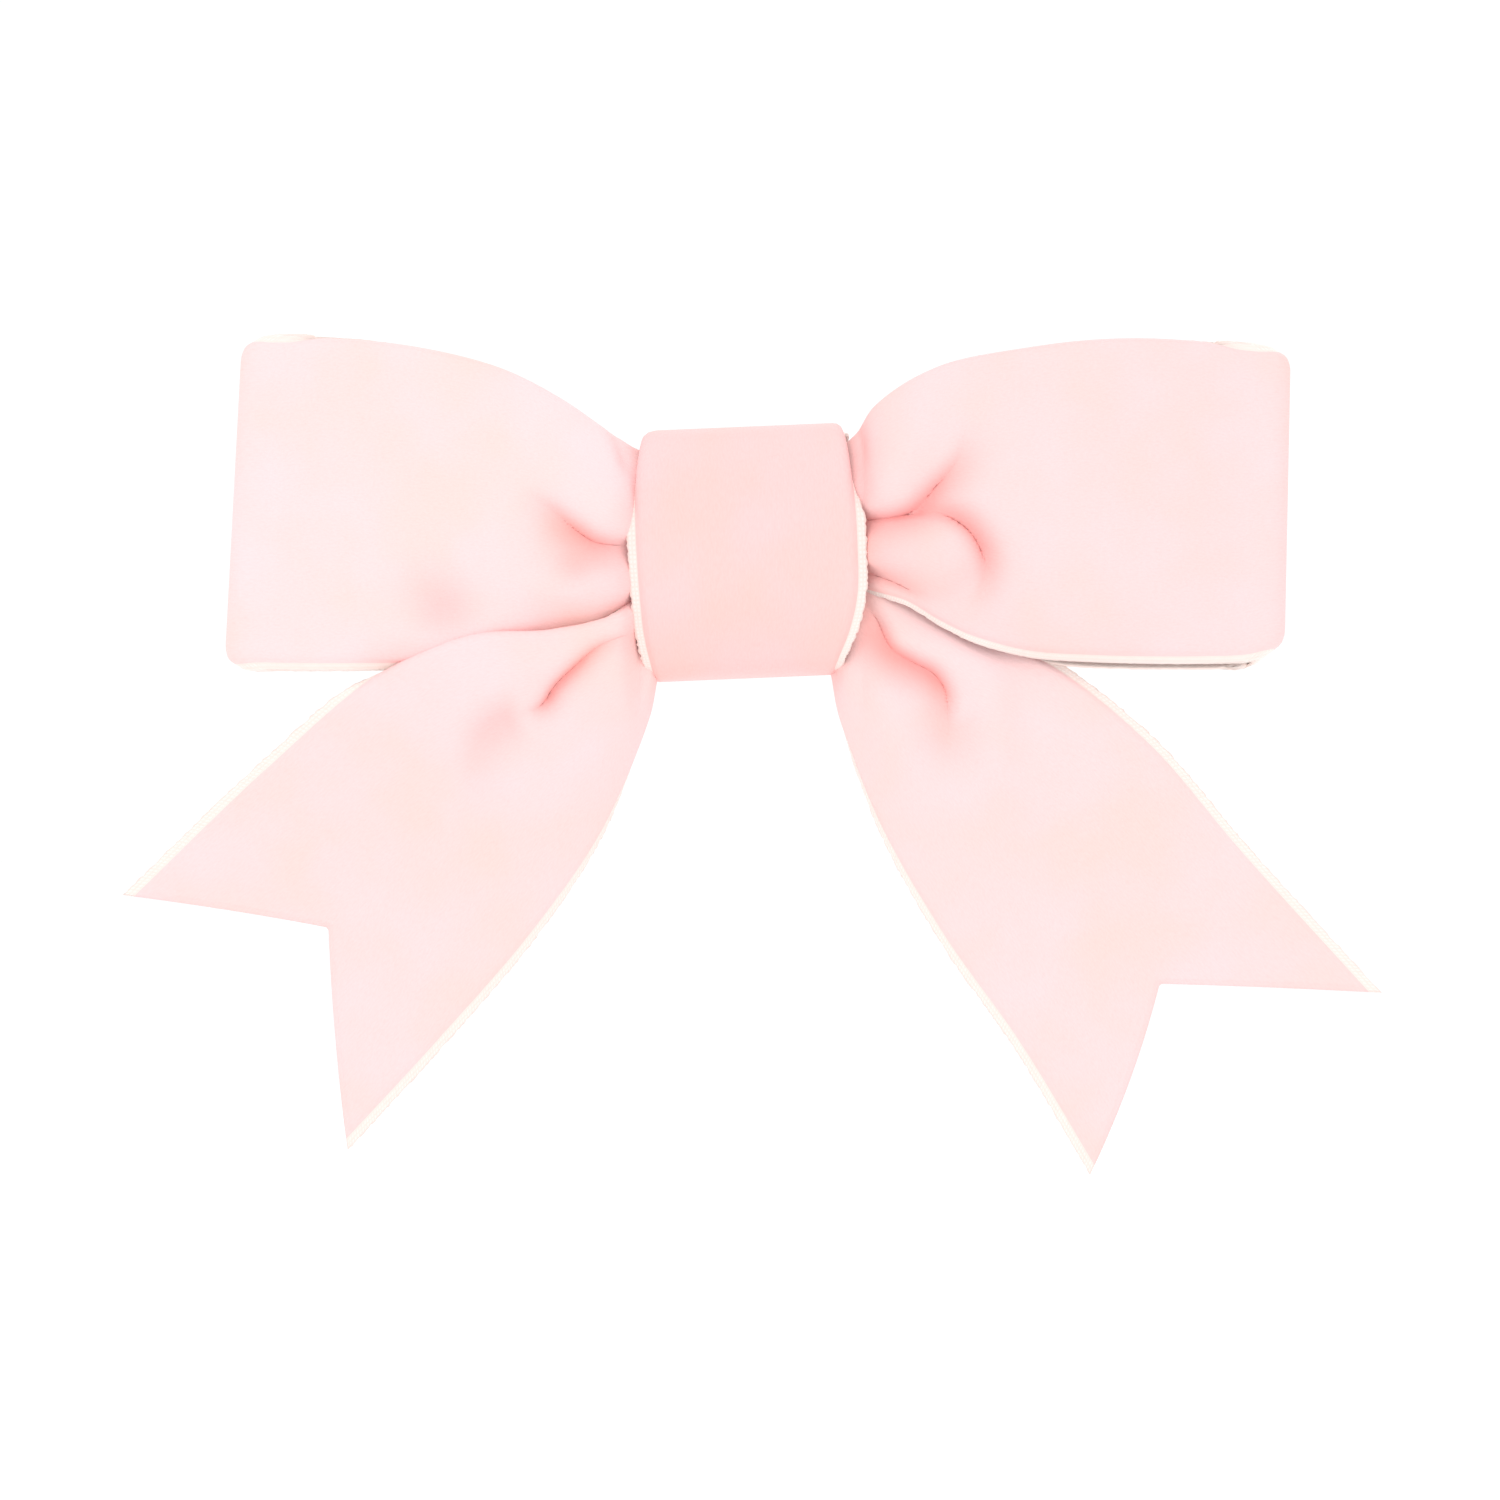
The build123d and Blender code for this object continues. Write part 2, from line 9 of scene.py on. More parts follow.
import bpy
import numpy as np
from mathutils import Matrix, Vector


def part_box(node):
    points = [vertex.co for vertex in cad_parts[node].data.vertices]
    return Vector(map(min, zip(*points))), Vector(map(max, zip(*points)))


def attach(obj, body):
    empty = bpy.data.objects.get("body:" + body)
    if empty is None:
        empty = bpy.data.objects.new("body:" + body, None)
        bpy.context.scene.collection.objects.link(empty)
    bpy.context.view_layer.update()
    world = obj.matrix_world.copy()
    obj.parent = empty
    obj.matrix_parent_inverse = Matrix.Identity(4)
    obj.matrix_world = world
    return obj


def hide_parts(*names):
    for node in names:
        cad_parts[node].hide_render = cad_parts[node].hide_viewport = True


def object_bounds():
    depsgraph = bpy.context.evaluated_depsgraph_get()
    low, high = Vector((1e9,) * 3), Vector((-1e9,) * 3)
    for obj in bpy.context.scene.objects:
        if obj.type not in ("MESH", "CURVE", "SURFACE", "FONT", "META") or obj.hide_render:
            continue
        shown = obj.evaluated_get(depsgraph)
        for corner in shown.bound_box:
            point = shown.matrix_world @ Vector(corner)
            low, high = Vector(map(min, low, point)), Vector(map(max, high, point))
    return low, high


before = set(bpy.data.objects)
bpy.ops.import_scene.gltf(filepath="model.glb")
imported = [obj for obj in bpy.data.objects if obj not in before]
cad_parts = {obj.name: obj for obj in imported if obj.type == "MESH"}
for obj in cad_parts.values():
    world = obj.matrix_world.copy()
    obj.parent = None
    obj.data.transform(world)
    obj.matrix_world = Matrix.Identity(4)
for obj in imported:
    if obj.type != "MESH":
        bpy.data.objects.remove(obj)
cad_low, cad_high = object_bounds()

MM = 0.001
RIBBON_WIDTH = 38.0
WRAP_WIDTH = 25.4
SELVEDGE = 0.95  # width of the woven edge
PILE = 0.42  # pile's height above the ground cloth's middle
GROUND = 0.22  # half thickness of the ground cloth
CELL = 0.42  # usual distance between grid points


# ---- Small maths helpers ----
def smooth_path(points, count=240):
    """Points on a smooth curve through the given ones (Catmull-Rom, by chord length)."""
    p = np.array(points, float)
    p = np.vstack([2 * p[0] - p[1], p, 2 * p[-1] - p[-2]])
    knots = np.concatenate([[0], np.cumsum(np.linalg.norm(np.diff(p, axis=0), axis=1) ** 0.5)])
    out = []
    for t in np.linspace(knots[1], knots[-2], count):
        i = min(max(int(np.searchsorted(knots, t, side="right")) - 1, 1), len(p) - 3)
        t0, t1, t2, t3 = knots[i - 1:i + 3]
        a1 = p[i - 1] * (t1 - t) / (t1 - t0) + p[i] * (t - t0) / (t1 - t0)
        a2 = p[i] * (t2 - t) / (t2 - t1) + p[i + 1] * (t - t1) / (t2 - t1)
        a3 = p[i + 1] * (t3 - t) / (t3 - t2) + p[i + 2] * (t - t2) / (t3 - t2)
        b1 = a1 * (t2 - t) / (t2 - t0) + a2 * (t - t0) / (t2 - t0)
        b2 = a2 * (t3 - t) / (t3 - t1) + a3 * (t - t1) / (t3 - t1)
        out.append(b1 * (t2 - t) / (t2 - t1) + b2 * (t - t1) / (t2 - t1))
    return np.array(out)


def height_of(points):
    """A function that gives the second coordinate of a smooth curve for the first."""
    path = smooth_path(points)
    order = np.argsort(path[:, 0])
    return lambda x: np.interp(x, path[order, 0], path[order, 1])


def along(points):
    """A function that gives points on a smooth curve for shares of its length, 0 to 1."""
    path = smooth_path(points)
    run = np.concatenate([[0], np.cumsum(np.linalg.norm(np.diff(path, axis=0), axis=1))])
    run = run / run[-1]
    return lambda t: np.stack([np.interp(t, run, path[:, k]) for k in range(path.shape[1])], axis=-1)


def bell(d, width):
    """1 at no distance, fading to nothing over about two widths."""
    return np.exp(-((d / width) ** 2))


def step(x, start, end):
    """0 before start, 1 after end, and a smooth rise between them."""
    t = np.clip((x - start) / (end - start), 0, 1)
    return t * t * (3 - 2 * t)


def from_path(x, z, points):
    """Signed distance from a smooth path in the XZ plane (positive on its left), and the share
    along the path of the nearest point."""
    path = smooth_path(points, 60)
    best = np.full(x.shape, 1e9)
    sign = np.ones(x.shape)
    share = np.zeros(x.shape)
    for i in range(len(path) - 1):
        ax, az = path[i]
        dx, dz = path[i + 1] - path[i]
        length = dx * dx + dz * dz
        raw = ((x - ax) * dx + (z - az) * dz) / length
        t = np.clip(raw, 0, 1)
        px, pz = x - ax - t * dx, z - az - t * dz
        d = np.hypot(px, pz)
        near = d < best
        best = np.where(near, d, best)
        sign = np.where(near, np.where(dx * (z - az) - dz * (x - ax) >= 0, 1, -1), sign)
        share = np.where(near, (i + t) / (len(path) - 1), share)
    return best * sign, share


def crease(x, z, points, depth, left, right, rise=0.25, fall=0.0):
    """How far a fold's valley sinks in: depth on its path, fading over left and right widths.
    rise and fall are the shares of the path over which the depth starts and ends."""
    d, share = from_path(x, z, points)
    width = np.where(d >= 0, left, right)
    strength = step(share, 0, rise) if rise else 1
    strength = strength * (1 - step(share, 1 - fall, 1)) if fall else strength
    return depth * strength * bell(d, width)


def ridge(x, z, points, height, width, rise=0.3, fall=0.3):
    """How far a soft ridge stands out: height on its path, fading over the width and both ends."""
    return crease(x, z, points, height, width, width, rise, fall)


def bulge(x, z, points, height, start, end, soft_below):
    """A rounded ridge like a finger: full height on its path and nothing past its radius, which
    goes from start to end along it. Its foot is crisp above soft_below and soft under it."""
    d, share = from_path(x, z, points)
    radius = start + (end - start) * share
    inside = np.clip(1 - (d / radius) ** 2, 0, 1)
    return height * inside ** (1.9 - 1.0 * step(z, soft_below - 5, soft_below))


def kept_behind(y, limit):
    """Depths that go no further forward than a limit, with a soft turn where they meet it."""
    return (y + limit + np.sqrt((y - limit) ** 2 + 0.5)) / 2


def deepest(*folds):
    """Folds that meet: about as deep as the deepest of them, with no hard line between them."""
    return sum(np.abs(f) ** 3 for f in folds) ** (1 / 3)


def roll_edge(grid, shares, width, top, amount, towards=(0, 100, 0), reach=2.1, radius=0.8):
    """Turn a ribbon's top or bottom edge round a small radius, to the side that faces the point
    towards. amount, 0 to 1 for each row, says how far."""
    from_edge = (1 - shares if top else shares) * width
    at = int(np.argmin(np.abs(from_edge - reach)))
    inward = -3 if top else 3
    base = grid[:, at]
    out = base - grid[:, at + inward]
    out /= np.maximum(np.linalg.norm(out, axis=1, keepdims=True), 1e-9)
    ahead = np.gradient(base, axis=0)
    back = np.cross(ahead, out)
    facing = np.sum(back * (np.array(towards) - base), axis=1, keepdims=True)
    back *= np.where(facing < 0, -1, 1) / np.maximum(np.linalg.norm(back, axis=1, keepdims=True), 1e-9)
    turned = grid.copy()
    for k in np.flatnonzero(from_edge < from_edge[at]):
        angle = min((from_edge[at] - from_edge[k]) / radius, 2.6)
        place = base + out * radius * math.sin(angle) + back * radius * (1 - math.cos(angle))
        turned[:, k] = grid[:, k] + (place - grid[:, k]) * amount[:, None]
    return turned


# ---- Strips of ribbon ----
def across(width):
    """Shares across a ribbon, 0 to 1, closer together at its woven edges."""
    edge = np.array([0, 0.2, 0.45, 0.65, SELVEDGE, SELVEDGE + 0.2, SELVEDGE + 0.45, SELVEDGE + 0.75])
    inner = np.linspace(edge[-1], width - edge[-1], max(int(width / CELL), 8))[1:-1]
    return np.concatenate([edge, inner, width - edge[::-1]]) / width


def strip(name, grid, shares, width, length, materials, tint_and_shade, closed=False, pile=PILE):
    """A ribbon from a grid of points in millimetres: rows along it, shares across it. Its pile
    stands on the side that the grid's normals face. A value from 0 to 1 at each point says how much
    deeper pink its pile is: painted shade in its folds and by the wrap, over an all-over tint."""
    rows, cols = grid.shape[:2]
    if closed:
        ahead, behind = np.roll(grid, -1, axis=0), np.roll(grid, 1, axis=0)
        du = ahead - behind
    else:
        du = np.gradient(grid, axis=0)
    dv = np.gradient(grid, axis=1)
    normal = np.cross(du, dv)
    normal /= np.maximum(np.linalg.norm(normal, axis=2, keepdims=True), 1e-9)
    from_edge = np.minimum(shares, 1 - shares) * width
    front = GROUND + pile * step(from_edge, SELVEDGE - 0.35, SELVEDGE + 0.75)
    front = front * (0.45 + 0.55 * step(from_edge, 0, 0.35))
    if not closed:
        ends = np.minimum(np.arange(rows), np.arange(rows)[::-1]) / 2.0
        front = front[None, :] * (0.35 + 0.65 * np.clip(ends, 0, 1))[:, None]
    else:
        front = np.repeat(front[None, :], rows, axis=0)
    fray = np.random.default_rng(len(name)).uniform(-0.05, 0.16, (rows, 2))[..., None]
    out = dv / np.maximum(np.linalg.norm(dv, axis=2, keepdims=True), 1e-9)
    grid = grid.copy()
    grid[:, 0] -= out[:, 0] * fray[:, 0]
    grid[:, -1] += out[:, -1] * fray[:, 1]
    outer = grid + normal * front[..., None]
    inner = grid - normal * GROUND * 0.9
    verts = np.concatenate([outer.reshape(-1, 3), inner.reshape(-1, 3)]) * MM
    half = rows * cols
    faces, slots = [], []
    last = rows if closed else rows - 1
    for i in range(last):
        j = (i + 1) % rows
        for k in range(cols - 1):
            a, b, c, d = i * cols + k, j * cols + k, j * cols + k + 1, i * cols + k + 1
            woven = from_edge[k] < SELVEDGE - 0.01 or from_edge[k + 1] < SELVEDGE - 0.01
            faces.append((a, b, c, d))
            slots.append(1 if woven else 0)
            faces.append((half + d, half + c, half + b, half + a))
            slots.append(1 if woven else 2)
        for k in (0, cols - 1):
            a, b = i * cols + k, j * cols + k
            quad = (a, a + half, b + half, b)
            faces.append(quad if k == 0 else quad[::-1])
            slots.append(1)
    if not closed:
        for i in (0, rows - 1):
            for k in range(cols - 1):
                a, b = i * cols + k, i * cols + k + 1
                quad = (a, b, b + half, a + half)
                faces.append(quad if i == 0 else quad[::-1])
                slots.append(2)
    mesh = bpy.data.meshes.new(name)
    mesh.from_pydata(verts.tolist(), [], faces)
    mesh.polygons.foreach_set("material_index", slots)
    mesh.polygons.foreach_set("use_smooth", [True] * len(faces))
    run = np.linspace(0, length, rows)[:, None] + np.zeros((1, cols))
    side = np.zeros((rows, 1)) + shares[None, :] * width
    flat = np.stack([run.ravel(), side.ravel()], axis=1)
    flat = np.concatenate([flat, flat]) * MM
    layer = mesh.uv_layers.new(name="Ribbon")
    corners = np.zeros(len(mesh.loops), int)
    mesh.loops.foreach_get("vertex_index", corners)
    layer.data.foreach_set("uv", flat[corners].ravel())
    # painted shade: how much deeper pink each point gets from the folds' depth and the wrap's edges, over an
    # all-over tint
    shade_layer_then_pressed_plate = mesh.attributes.new("TintAndShade", "FLOAT", "POINT")
    shade_layer_then_pressed_plate.data.foreach_set("value", np.concatenate([tint_and_shade.ravel(), tint_and_shade.ravel()]).clip(0, 1))
    for material in materials:
        mesh.materials.append(material)
    mesh.validate()
    piece = bpy.data.objects.new(name, mesh)
    bpy.context.scene.collection.objects.link(piece)
    return piece


# ---- Materials ----
LIT = (0.985, 0.712, 0.708)
LIT_WARM = (0.985, 0.698, 0.668)
LIT_COOL = (0.987, 0.728, 0.742)
# Deeper pinks mixed into the pile by a mesh attribute: painted shade in the folds and by the wrap, and an
# all-over tint
SHADE_TINT_HALF = (1.0, 0.86, 0.845)
SHADE_TINT_FULL = (1.0, 0.72, 0.69)


def new_material(name):
    material = bpy.data.materials.new(name)
    material.use_nodes = True
    nodes = material.node_tree.nodes
    return material, nodes, material.node_tree.links, nodes["Principled BSDF"]


def noise(nodes, links, source, scale, detail=3.0, rough=0.55):
    node = nodes.new("ShaderNodeTexNoise")
    node.inputs["Scale"].default_value = scale
    node.inputs["Detail"].default_value = detail
    node.inputs["Roughness"].default_value = rough
    links.new(source, node.inputs["Vector"])
    return node.outputs["Fac"]


def stretched(nodes, links, source, scale):
    node = nodes.new("ShaderNodeMapping")
    node.inputs["Scale"].default_value = scale
    links.new(source, node.inputs["Vector"])
    return node.outputs["Vector"]


def ramp(nodes, links, source, stops):
    node = nodes.new("ShaderNodeValToRGB")
    elements = node.color_ramp.elements
    while len(elements) < len(stops):
        elements.new(0.5)
    for element, (place, colour) in zip(elements, stops):
        element.position = place
        element.color = (*colour, 1)
    links.new(source, node.inputs["Fac"])
    return node.outputs["Color"]


def mix(nodes, links, kind, factor, first, second):
    node = nodes.new("ShaderNodeMix")
    node.data_type = "RGBA"
    node.blend_type = kind
    node.inputs["Factor"].default_value = factor
    links.new(first, node.inputs["A"])
    links.new(second, node.inputs["B"])
    return node.outputs["Result"]


def bump(nodes, links, height, strength, distance, after=None):
    node = nodes.new("ShaderNodeBump")
    node.inputs["Strength"].default_value = strength
    node.inputs["Distance"].default_value = distance
    links.new(height, node.inputs["Height"])
    if after is not None:
        links.new(after, node.inputs["Normal"])
    return node.outputs["Normal"]


def velvet_pile():
    """Cut pile: soft patches where it has been brushed two ways, fine tufts, a pale sheen at its
    outline, and a deeper pink from a mesh attribute: painted shade in its folds and by the wrap, over an
    all-over tint."""
    material, nodes, links, shader = new_material("velvet_pile")
    place = nodes.new("ShaderNodeTexCoord").outputs["Object"]
    flat = nodes.new("ShaderNodeUVMap")
    flat.uv_map = "Ribbon"
    brushed = stretched(nodes, links, flat.outputs["UV"], (1.0, 3.2, 1.0))
    patches = ramp(nodes, links, noise(nodes, links, place, 85, 2.5), (
        (0.30, LIT_WARM), (0.50, LIT), (0.70, LIT_COOL)))
    # painted shade in the folds and by the wrap's edges, over an all-over tint, read from a mesh attribute
    tint_and_shade = nodes.new("ShaderNodeAttribute")
    tint_and_shade.attribute_name = "TintAndShade"
    shade_tint = ramp(nodes, links, tint_and_shade.outputs["Fac"], ((0.0, (1, 1, 1)), (0.45, SHADE_TINT_HALF), (1.0, SHADE_TINT_FULL)))
    tufts = ramp(nodes, links, noise(nodes, links, brushed, 1500, 3.0), (
        (0.30, (0.95, 0.93, 0.92)), (0.62, (1, 1, 1))))
    pile = mix(nodes, links, "MULTIPLY", 1.0, patches, shade_tint)
    links.new(mix(nodes, links, "MULTIPLY", 0.6, pile, tufts), shader.inputs["Base Color"])
    shader.inputs["Roughness"].default_value = 0.95
    shader.inputs["Specular IOR Level"].default_value = 0.08
    shader.inputs["Sheen Weight"].default_value = 0.18
    shader.inputs["Sheen Roughness"].default_value = 0.35
    shader.inputs["Sheen Tint"].default_value = (1.0, 0.88, 0.86, 1)
    soft = bump(nodes, links, noise(nodes, links, brushed, 420, 2.0), 0.35, 0.00018)
    fine = bump(nodes, links, noise(nodes, links, flat.outputs["UV"], 3600, 2.0), 0.5, 0.00006, soft)
    links.new(fine, shader.inputs["Normal"])
    return material


def woven(name, light, shade, pitch, sheen):
    """Plain weave: threads across and along, a pitch apart."""
    material, nodes, links, shader = new_material(name)
    flat = nodes.new("ShaderNodeUVMap")
    flat.uv_map = "Ribbon"
    threads = []
    for direction in ("X", "Y"):
        wave = nodes.new("ShaderNodeTexWave")
        wave.wave_type = "BANDS"
        wave.bands_direction = direction
        wave.inputs["Scale"].default_value = 1 / pitch / 3.2
        wave.inputs["Distortion"].default_value = 0.6
        wave.inputs["Detail Scale"].default_value = 2.0
        links.new(flat.outputs["UV"], wave.inputs["Vector"])
        threads.append(wave.outputs["Color"])
    weave = mix(nodes, links, "MULTIPLY", 1.0, *threads)
    colour = ramp(nodes, links, weave, ((0.0, shade), (0.55, light)))
    fleck = ramp(nodes, links, noise(nodes, links, flat.outputs["UV"], 900, 3.0), (
        (0.3, (0.95, 0.95, 0.95)), (0.6, (1, 1, 1))))
    links.new(mix(nodes, links, "MULTIPLY", 0.6, colour, fleck), shader.inputs["Base Color"])
    shader.inputs["Roughness"].default_value = 0.72
    shader.inputs["Specular IOR Level"].default_value = 0.25
    shader.inputs["Sheen Weight"].default_value = sheen
    shader.inputs["Sheen Roughness"].default_value = 0.45
    links.new(bump(nodes, links, weave, 0.6, 0.00005), shader.inputs["Normal"])
    return material


def plated(name, colour, roughness, grain):
    """Nickel plate with faint drawing lines and handling marks."""
    material, nodes, links, shader = new_material(name)
    place = nodes.new("ShaderNodeTexCoord").outputs["Object"]
    lines = noise(nodes, links, stretched(nodes, links, place, (0.05, 1, 1)), grain, 4.0, 0.7)
    marks = noise(nodes, links, place, 700, 4.0, 0.65)
    dark = tuple(c * 0.93 for c in colour)
    links.new(ramp(nodes, links, marks, ((0.35, dark), (0.6, colour))), shader.inputs["Base Color"])
    shader.inputs["Metallic"].default_value = 1.0
    spread = nodes.new("ShaderNodeMapRange")
    spread.inputs["To Min"].default_value = roughness * 0.8
    spread.inputs["To Max"].default_value = roughness * 1.25
    links.new(marks, spread.inputs["Value"])
    links.new(spread.outputs["Result"], shader.inputs["Roughness"])
    links.new(bump(nodes, links, lines, 0.25, 0.00002), shader.inputs["Normal"])
    return material


def thread_material():
    """Two-ply thread: fine slanting ridges and a little fuzz."""
    material, nodes, links, shader = new_material("sewing_thread")
    place = nodes.new("ShaderNodeTexCoord").outputs["Object"]
    wave = nodes.new("ShaderNodeTexWave")
    wave.bands_direction = "DIAGONAL"
    wave.inputs["Scale"].default_value = 1400
    links.new(place, wave.inputs["Vector"])
    links.new(ramp(nodes, links, wave.outputs["Color"], (
        (0.0, (0.80, 0.56, 0.52)), (0.6, (0.96, 0.77, 0.73)))), shader.inputs["Base Color"])
    shader.inputs["Roughness"].default_value = 0.7
    shader.inputs["Sheen Weight"].default_value = 0.3
    links.new(bump(nodes, links, wave.outputs["Color"], 0.5, 0.00004), shader.inputs["Normal"])
    return material


def glue_material():
    """Set hot-melt glue: milky, glossy, a little uneven."""
    material, nodes, links, shader = new_material("set_glue")
    place = nodes.new("ShaderNodeTexCoord").outputs["Object"]
    cloudy = noise(nodes, links, place, 400, 3.0)
    links.new(ramp(nodes, links, cloudy, (
        (0.3, (0.80, 0.76, 0.66)), (0.7, (0.92, 0.89, 0.82)))), shader.inputs["Base Color"])
    shader.inputs["Roughness"].default_value = 0.2
    shader.inputs["Coat Weight"].default_value = 0.4
    links.new(bump(nodes, links, cloudy, 0.4, 0.0002), shader.inputs["Normal"])
    return material


velvet = velvet_pile()
selvedge = woven("woven_selvedge", (0.985, 0.87, 0.825), (0.95, 0.79, 0.73), 0.00042, 0.3)
ground = woven("ribbon_back", (0.98, 0.84, 0.81), (0.94, 0.74, 0.71), 0.00036, 0.15)
ribbon_materials = (velvet, selvedge, ground)

# ---- Loop ribbon ----
NECK_X = 10.0  # where the loops' shape starts, hidden under the wrap
ROLL_DROP = 0.7  # how much lower the top edge is where it isn't rolled back
NECK_HALF = 11.1  # half the height of the gathered middle
FOLD_FRONT = -16.4  # depth of the front layer at the end fold
FOLD_BACK = -11.9  # depth of the back layer
LOOP_MIDDLE = -14.0  # depth halfway between the layers, where the front layer's edges curl to
FOLD_INSET = 2.2  # how far inside the loop's end its fold starts
END_CORNER = 3.0  # radius of the corners at the loop's end
LOOP_LIMIT = -17.5  # how far forward the loops go under the wrap
TAIL_LIMIT = -17.1  # how far forward the tails go under it
LEAN = 2.4  # how far the right loop's bottom edge leans back
LEAN_REACH = 9.0  # over this much of its height
LAYER_GAP = 1.3  # from the front layer to the back one, where they lean together
EDGE_ROLL = 1.2  # how far the front layer's top edge leans back
FOLD_SHARE = 0.62  # how much of a fold is real depth; the rest is painted shade, a deeper pink in its pile's colour

LOOPS = {
    -1: dict(
        top=[(10, 10.6), (13.8, 12.4), (17.6, 15.2), (21.3, 17.9), (28.0, 21.4), (38, 24.0), (47, 25.0),
             (62, 25.0)],
        bottom=[(10, -6.2), (14, -9.0), (21, -11.2), (29, -12.4), (37, -13.0), (45, -13.2), (62, -13.2)],
        back_bottom=[(10, -6.2), (20, -10.2), (37, -12.6), (62, -13.3)],
        end_top=56.4, end_bottom=58.4),
    1: dict(
        top=[(10, 11.6), (12.4, 13.9), (14.2, 16.9), (20.7, 21.4), (30.5, 23.7), (43, 24.9), (62, 23.6)],
        bottom=[(10, -3.4), (13.4, -4.6), (17.7, -6.1), (21.3, -8.3), (24.9, -10.1), (31, -11.7), (38, -12.2),
                (52, -12.4), (55.8, -12.2), (57.6, -11.6), (59.5, -11.2), (62, -11.1)],
        back_bottom=[(10, -2.4), (14, -3.2), (20, -5.2), (27, -9.0), (31, -11.6), (35, -12.6), (52, -13.0),
                     (55.8, -12.8), (57.6, -12.1), (59.5, -11.6), (62, -11.4)],
        end_top=59.9, end_bottom=59.2),
}
LOOP_DEPTH = height_of([(0, -16.2), (0.07, -17.6), (0.24, -20.4), (0.5, -21.0), (0.74, -19.4), (0.9, -17.3),
                        (0.96, -16.6), (1, FOLD_FRONT)])
# how much deeper pink each loop is all over
LOOP_TINT = {-1: 0.02, 1: 0.17}


def loop_folds(side, x, z):
    """How far the front layer's folds sink in, and how far they stand out."""
    if side < 0:
        pinch = crease(x, z, [(-27, 7.2), (-22.4, 4.9), (-19.7, 2.8), (-17.4, 1.3), (-14, 0.8), (-10, 0.9)],
                       4.2, 1.1, 3.2, 0.5, 0.45)
        under_pinch = crease(x, z, [(-19.6, 1.5), (-19.0, -5)], 2.2, 2.4, 2.4, 0.3, 0.6)
        by_wrap = crease(x, z, [(-10, -6.0), (-13.4, -6.9), (-16.2, -8.9), (-20, -10.8)],
                         4.2, 2.2, 1.7, 0.0, 0.7)
        hollow = crease(x, z, [(-41, -0.5), (-36.0, -4.6), (-33.2, -7.6), (-30, -12)],
                        2.4, 3.4, 3.4, 0.6, 0.5)
        tuck = crease(x, z, [(-48, -14.2), (-40, -13.4), (-31, -12.2), (-22, -11.2), (-14, -9.5)],
                      2.4, 2.9, 2.9, 0.3, 0.2)
        corner = crease(x, z, [(-17, 14.6), (-15.3, 11.4), (-14.0, 7.6)], 1.2, 0.9, 0.6, 0.4, 0.4)
        above = ridge(x, z, [(-29, 13), (-22, 9.4), (-16, 5.2), (-11, 4.2)], 1.3, 2.6, 0.5, 0.3)
        below = ridge(x, z, [(-30, -2), (-22, -3.8), (-16, -3.4), (-11, -3)], 1.3, 2.4, 0.4, 0.3)
        return deepest(pinch, under_pinch, by_wrap, hollow, tuck, corner), above + below
    flap = crease(x, z, [(24.6, 15.5), (23.4, 10.8), (20.6, 7.5), (17.6, 4.5), (13.4, 3.4), (9, 3.2)],
                  4.0, 2.8, 1.1, 0.5, 0.2)
    flap_ridge = ridge(x, z, [(22, 20), (18, 13.5), (14.5, 7.5), (10, 6)], 1.7, 3.0, 0.5, 0.3)
    thumb = bulge(x, z, [(9, 0.9), (14, 0.9), (18, 0.0), (20.9, -1.1)], 2.2, 2.4, 4.4, 1.5)
    round_thumb = crease(x, z, [(17.0, 4.4), (20.8, 4.3), (23.6, 2.9), (25.5, 0.4), (26.2, -2.2),
                                (25.5, -5.0), (23.4, -7.0)], 3.5, 2.1, 1.2, 0.1, 0.5)
    under = crease(x, z, [(9, -1.5), (14.2, -2.4), (18.2, -4.2), (21, -6.2)], 1.9, 1.1, 1.1, 0.0, 0.5)
    corner = crease(x, z, [(12.6, 15), (13.0, 11.5), (13.2, 8)], 1.1, 0.7, 0.7, 0.4, 0.4)
    return deepest(flap, round_thumb, under, corner), flap_ridge + thumb


